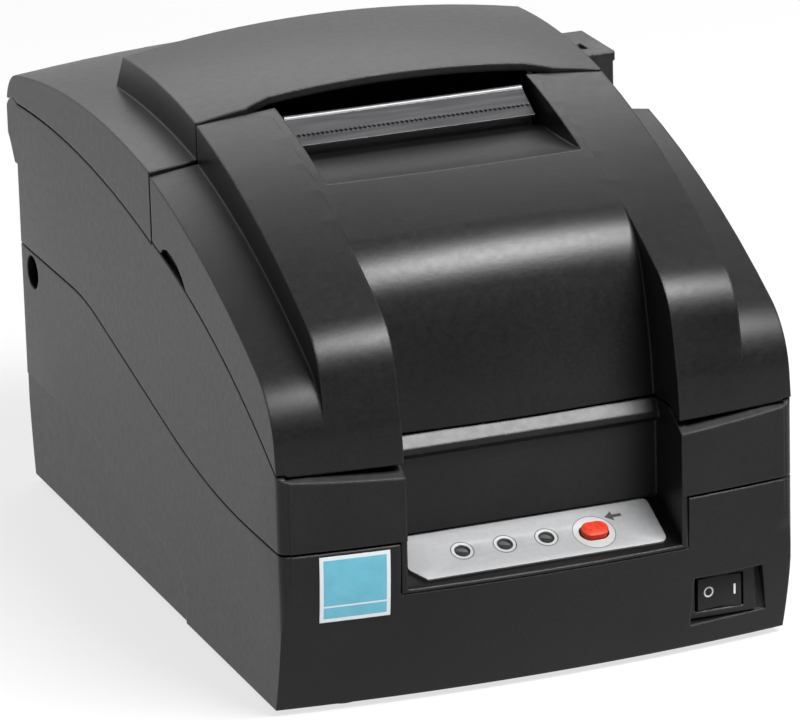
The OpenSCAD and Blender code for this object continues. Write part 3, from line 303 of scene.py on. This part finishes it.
CHARCOAL = (0.0028, 0.0028, 0.003)
case = moulded("case_plastic_look", CHARCOAL)
black = moulded("dark_plastic_look", (0.006, 0.006, 0.0065), 0.36, 0.3)
looks = {
    "case_plastic": case,
    "dark_plastic": black,
    "bright_steel": metal("bright_steel_look", (0.5, 0.51, 0.52), 0.32, (0.1, 1, 1)),
    "tear_steel": metal("tear_steel_look", (0.1, 0.1, 0.104), 0.4, (0.05, 1, 1), 0.15),
    "overlay_film": overlay("overlay_film_look", (0.19, 0.192, 0.195)),
    "lamp_window": moulded("lamp_window_look", (0.012, 0.014, 0.013), 0.12, 0.0, 0.0002, 1.5, 0.0),
    "button_cap": moulded("button_cap_look", (0.3, 0.016, 0.002), 0.4, 0.2, 0.0004, 1.36, 0.05),
    "rubber": soft("rubber_look", (0.012, 0.012, 0.012)),
    "motor_metal": metal("motor_metal_look", (0.35, 0.35, 0.36), 0.42, (1, 0.1, 1)),
    "white_plastic": moulded("white_plastic_look", (0.36, 0.36, 0.335), 0.4, 0.15, 0.0003, 1.46, 0.0),
    "brass": metal("brass_look", (0.75, 0.52, 0.2), 0.25, (0.1, 1, 1)),
    "board": laminate("board_look", (0.01, 0.09, 0.04)),
    "ribbon_cloth": soft("ribbon_cloth_look", (0.03, 0.02, 0.06), 0.7, 4000),
    "knob_plastic": moulded("knob_plastic_look", (0.03, 0.12, 0.38), 0.4, 0.2, 0.0004),
}
corners = [[c[i] * 1000 for i in (0, 2)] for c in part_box("front_sticker")]
looks["label_film"] = label("label_film_look", (0.083, 0.288, 0.372), *corners)

# signs on the rocker, in millimetres across and up
OFF_MIDDLE = (55.0, 18.2)
OFF_RING = (1.15, 1.65)
ON_BAR = ((63.0, 16.4), (63.6, 19.6))


def switch_marks(n):
    """Generic on and off signs on the rocker: a ring and a bar."""
    u, v = n.along((1, 0, 0)), n.along((0, 0, 1))
    return n.calc("MAXIMUM", n.ring(u, v, OFF_MIDDLE, *OFF_RING), n.box_mask(u, v, *ON_BAR))


rocker_look = moulded("rocker_look", (0.005, 0.005, 0.0055), 0.3, 0.1, 0.0004, marks=switch_marks)
slot_of = {s["node"]: s["material_slot"] for s in frame["record"]["subparts"]}


def finish_mesh(obj, bevel, angle):
    """Smooth shading that breaks at real edges, with a small round on them where the shape allows."""
    for poly in obj.data.polygons:
        poly.use_smooth = True
    weld = obj.modifiers.new("weld", "WELD")
    weld.merge_threshold = 2e-6
    if bevel:
        b = obj.modifiers.new("round", "BEVEL")
        b.width = bevel
        b.segments = 2
        b.limit_method = "ANGLE"
        b.angle_limit = math.radians(angle)
        b.use_clamp_overlap = True
        b.miter_outer = "MITER_ARC"
    split = obj.modifiers.new("edges", "EDGE_SPLIT")
    split.split_angle = math.radians(angle)


# radius in metres of the small round on a node's edges
ROUNDED = {
    "feed_button": 0.0006, "rubber_feet": 0.0005, "control_overlay": 0.00015, "cover_lever": 0.0005,
    "status_leds": 0.0002, "power_rocker": 0.0003, "platen_bar": 0.0004, "print_carriage": 0.0005,
    "print_head": 0.0002, "ribbon_cassette": 0.0005, "ribbon_knob": 0.0004, "carriage_motor": 0.0006,
    "feed_motor": 0.0006, "feed_rollers": 0.0004, "pinch_rollers": 0.0003, "drive_pulley": 0.0002,
    "idler_pulley": 0.0002, "main_board": 0.0001, "power_jack": 0.0003, "drawer_socket": 0.0003,
}
# angle in degrees above which an edge counts as sharp; lower on the covers, whose bends are gentle
SHARP = {"front_cover": 25, "paper_cover": 25}
for name, obj in nodes.items():
    obj.data.materials.clear()
    obj.data.materials.append(rocker_look if name == "power_rocker" else looks[slot_of[name]])
    finish_mesh(obj, ROUNDED.get(name, 0.0), SHARP.get(name, 30))

# ---------------------------------------------------------------- stage and light


def stage_plane(name, size, z):
    mesh = bpy.data.meshes.new(name)
    bm = bmesh.new()
    bmesh.ops.create_grid(bm, x_segments=1, y_segments=1, size=size)
    bm.to_mesh(mesh)
    bm.free()
    obj = bpy.data.objects.new(name, mesh)
    obj.location.z = z
    bpy.context.collection.objects.link(obj)
    return obj


floor = stage_plane("floor", 12, -0.0001)
floor_look = Nodes("floor_look")
tone = floor_look.ramp(floor_look.noise(3, 2), (0.12, 0.12, 0.12), (0.125, 0.125, 0.125))
floor_look.join(tone, floor_look.bsdf.inputs["Base Color"])
# the floor glows a little, as a light table does, which keeps the shadows faint
floor_look.bsdf.inputs["Roughness"].default_value = 0.9
floor_look.bsdf.inputs["Emission Color"].default_value = (1, 1, 1, 1)
floor_look.bsdf.inputs["Emission Strength"].default_value = 0.72
floor_look.bsdf.inputs["Specular IOR Level"].default_value = 0.1
floor.data.materials.append(floor_look.mat)

world = bpy.data.worlds.new("studio")
bpy.context.scene.world = world
world.use_nodes = True
wt = world.node_tree
bg = wt.nodes["Background"]
tc = wt.nodes.new("ShaderNodeTexCoord")
sep = wt.nodes.new("ShaderNodeSeparateXYZ")
wt.links.new(tc.outputs["Generated"], sep.inputs[0])


def world_lobe(axis, low, high, dim, bright):
    """Brightness from dim to bright as the direction's part along an axis goes from low to high."""
    r = wt.nodes.new("ShaderNodeMapRange")
    r.interpolation_type = "SMOOTHSTEP"
    for key, value in (("From Min", low), ("From Max", high), ("To Min", dim), ("To Max", bright)):
        r.inputs[key].default_value = value
    wt.links.new(sep.outputs[axis], r.inputs["Value"])
    return r.outputs["Result"]


# dim in front, brighter behind and to the left
total = wt.nodes.new("ShaderNodeMath")
total.operation = "ADD"
wt.links.new(world_lobe("Y", -0.3, 0.8, 0.06, 0.85), total.inputs[0])
wt.links.new(world_lobe("X", -1.0, 0.0, 0.75, 0.0), total.inputs[1])
wt.links.new(total.outputs[0], bg.inputs["Strength"])
bg.inputs["Color"].default_value = (1, 1, 1, 1)


def area(name, at, size, power):
    """Soft box that faces LIT, a point in the middle of the object; power in watts."""
    data = bpy.data.lights.new(name, "AREA")
    data.shape = "RECTANGLE"
    data.size, data.size_y = size
    data.energy = power
    obj = bpy.data.objects.new(name, data)
    obj.location = at
    obj.rotation_euler = (LIT - Vector(at)).to_track_quat("-Z", "Y").to_euler()
    bpy.context.collection.objects.link(obj)


LIT = Vector((0, 0, 0.1))
area("top_box", (0.5, -0.82, 1.3), (0.9, 0.5), 66)
area("back_box", (0.2, 1.6, 1.6), (2.2, 1.2), 24)
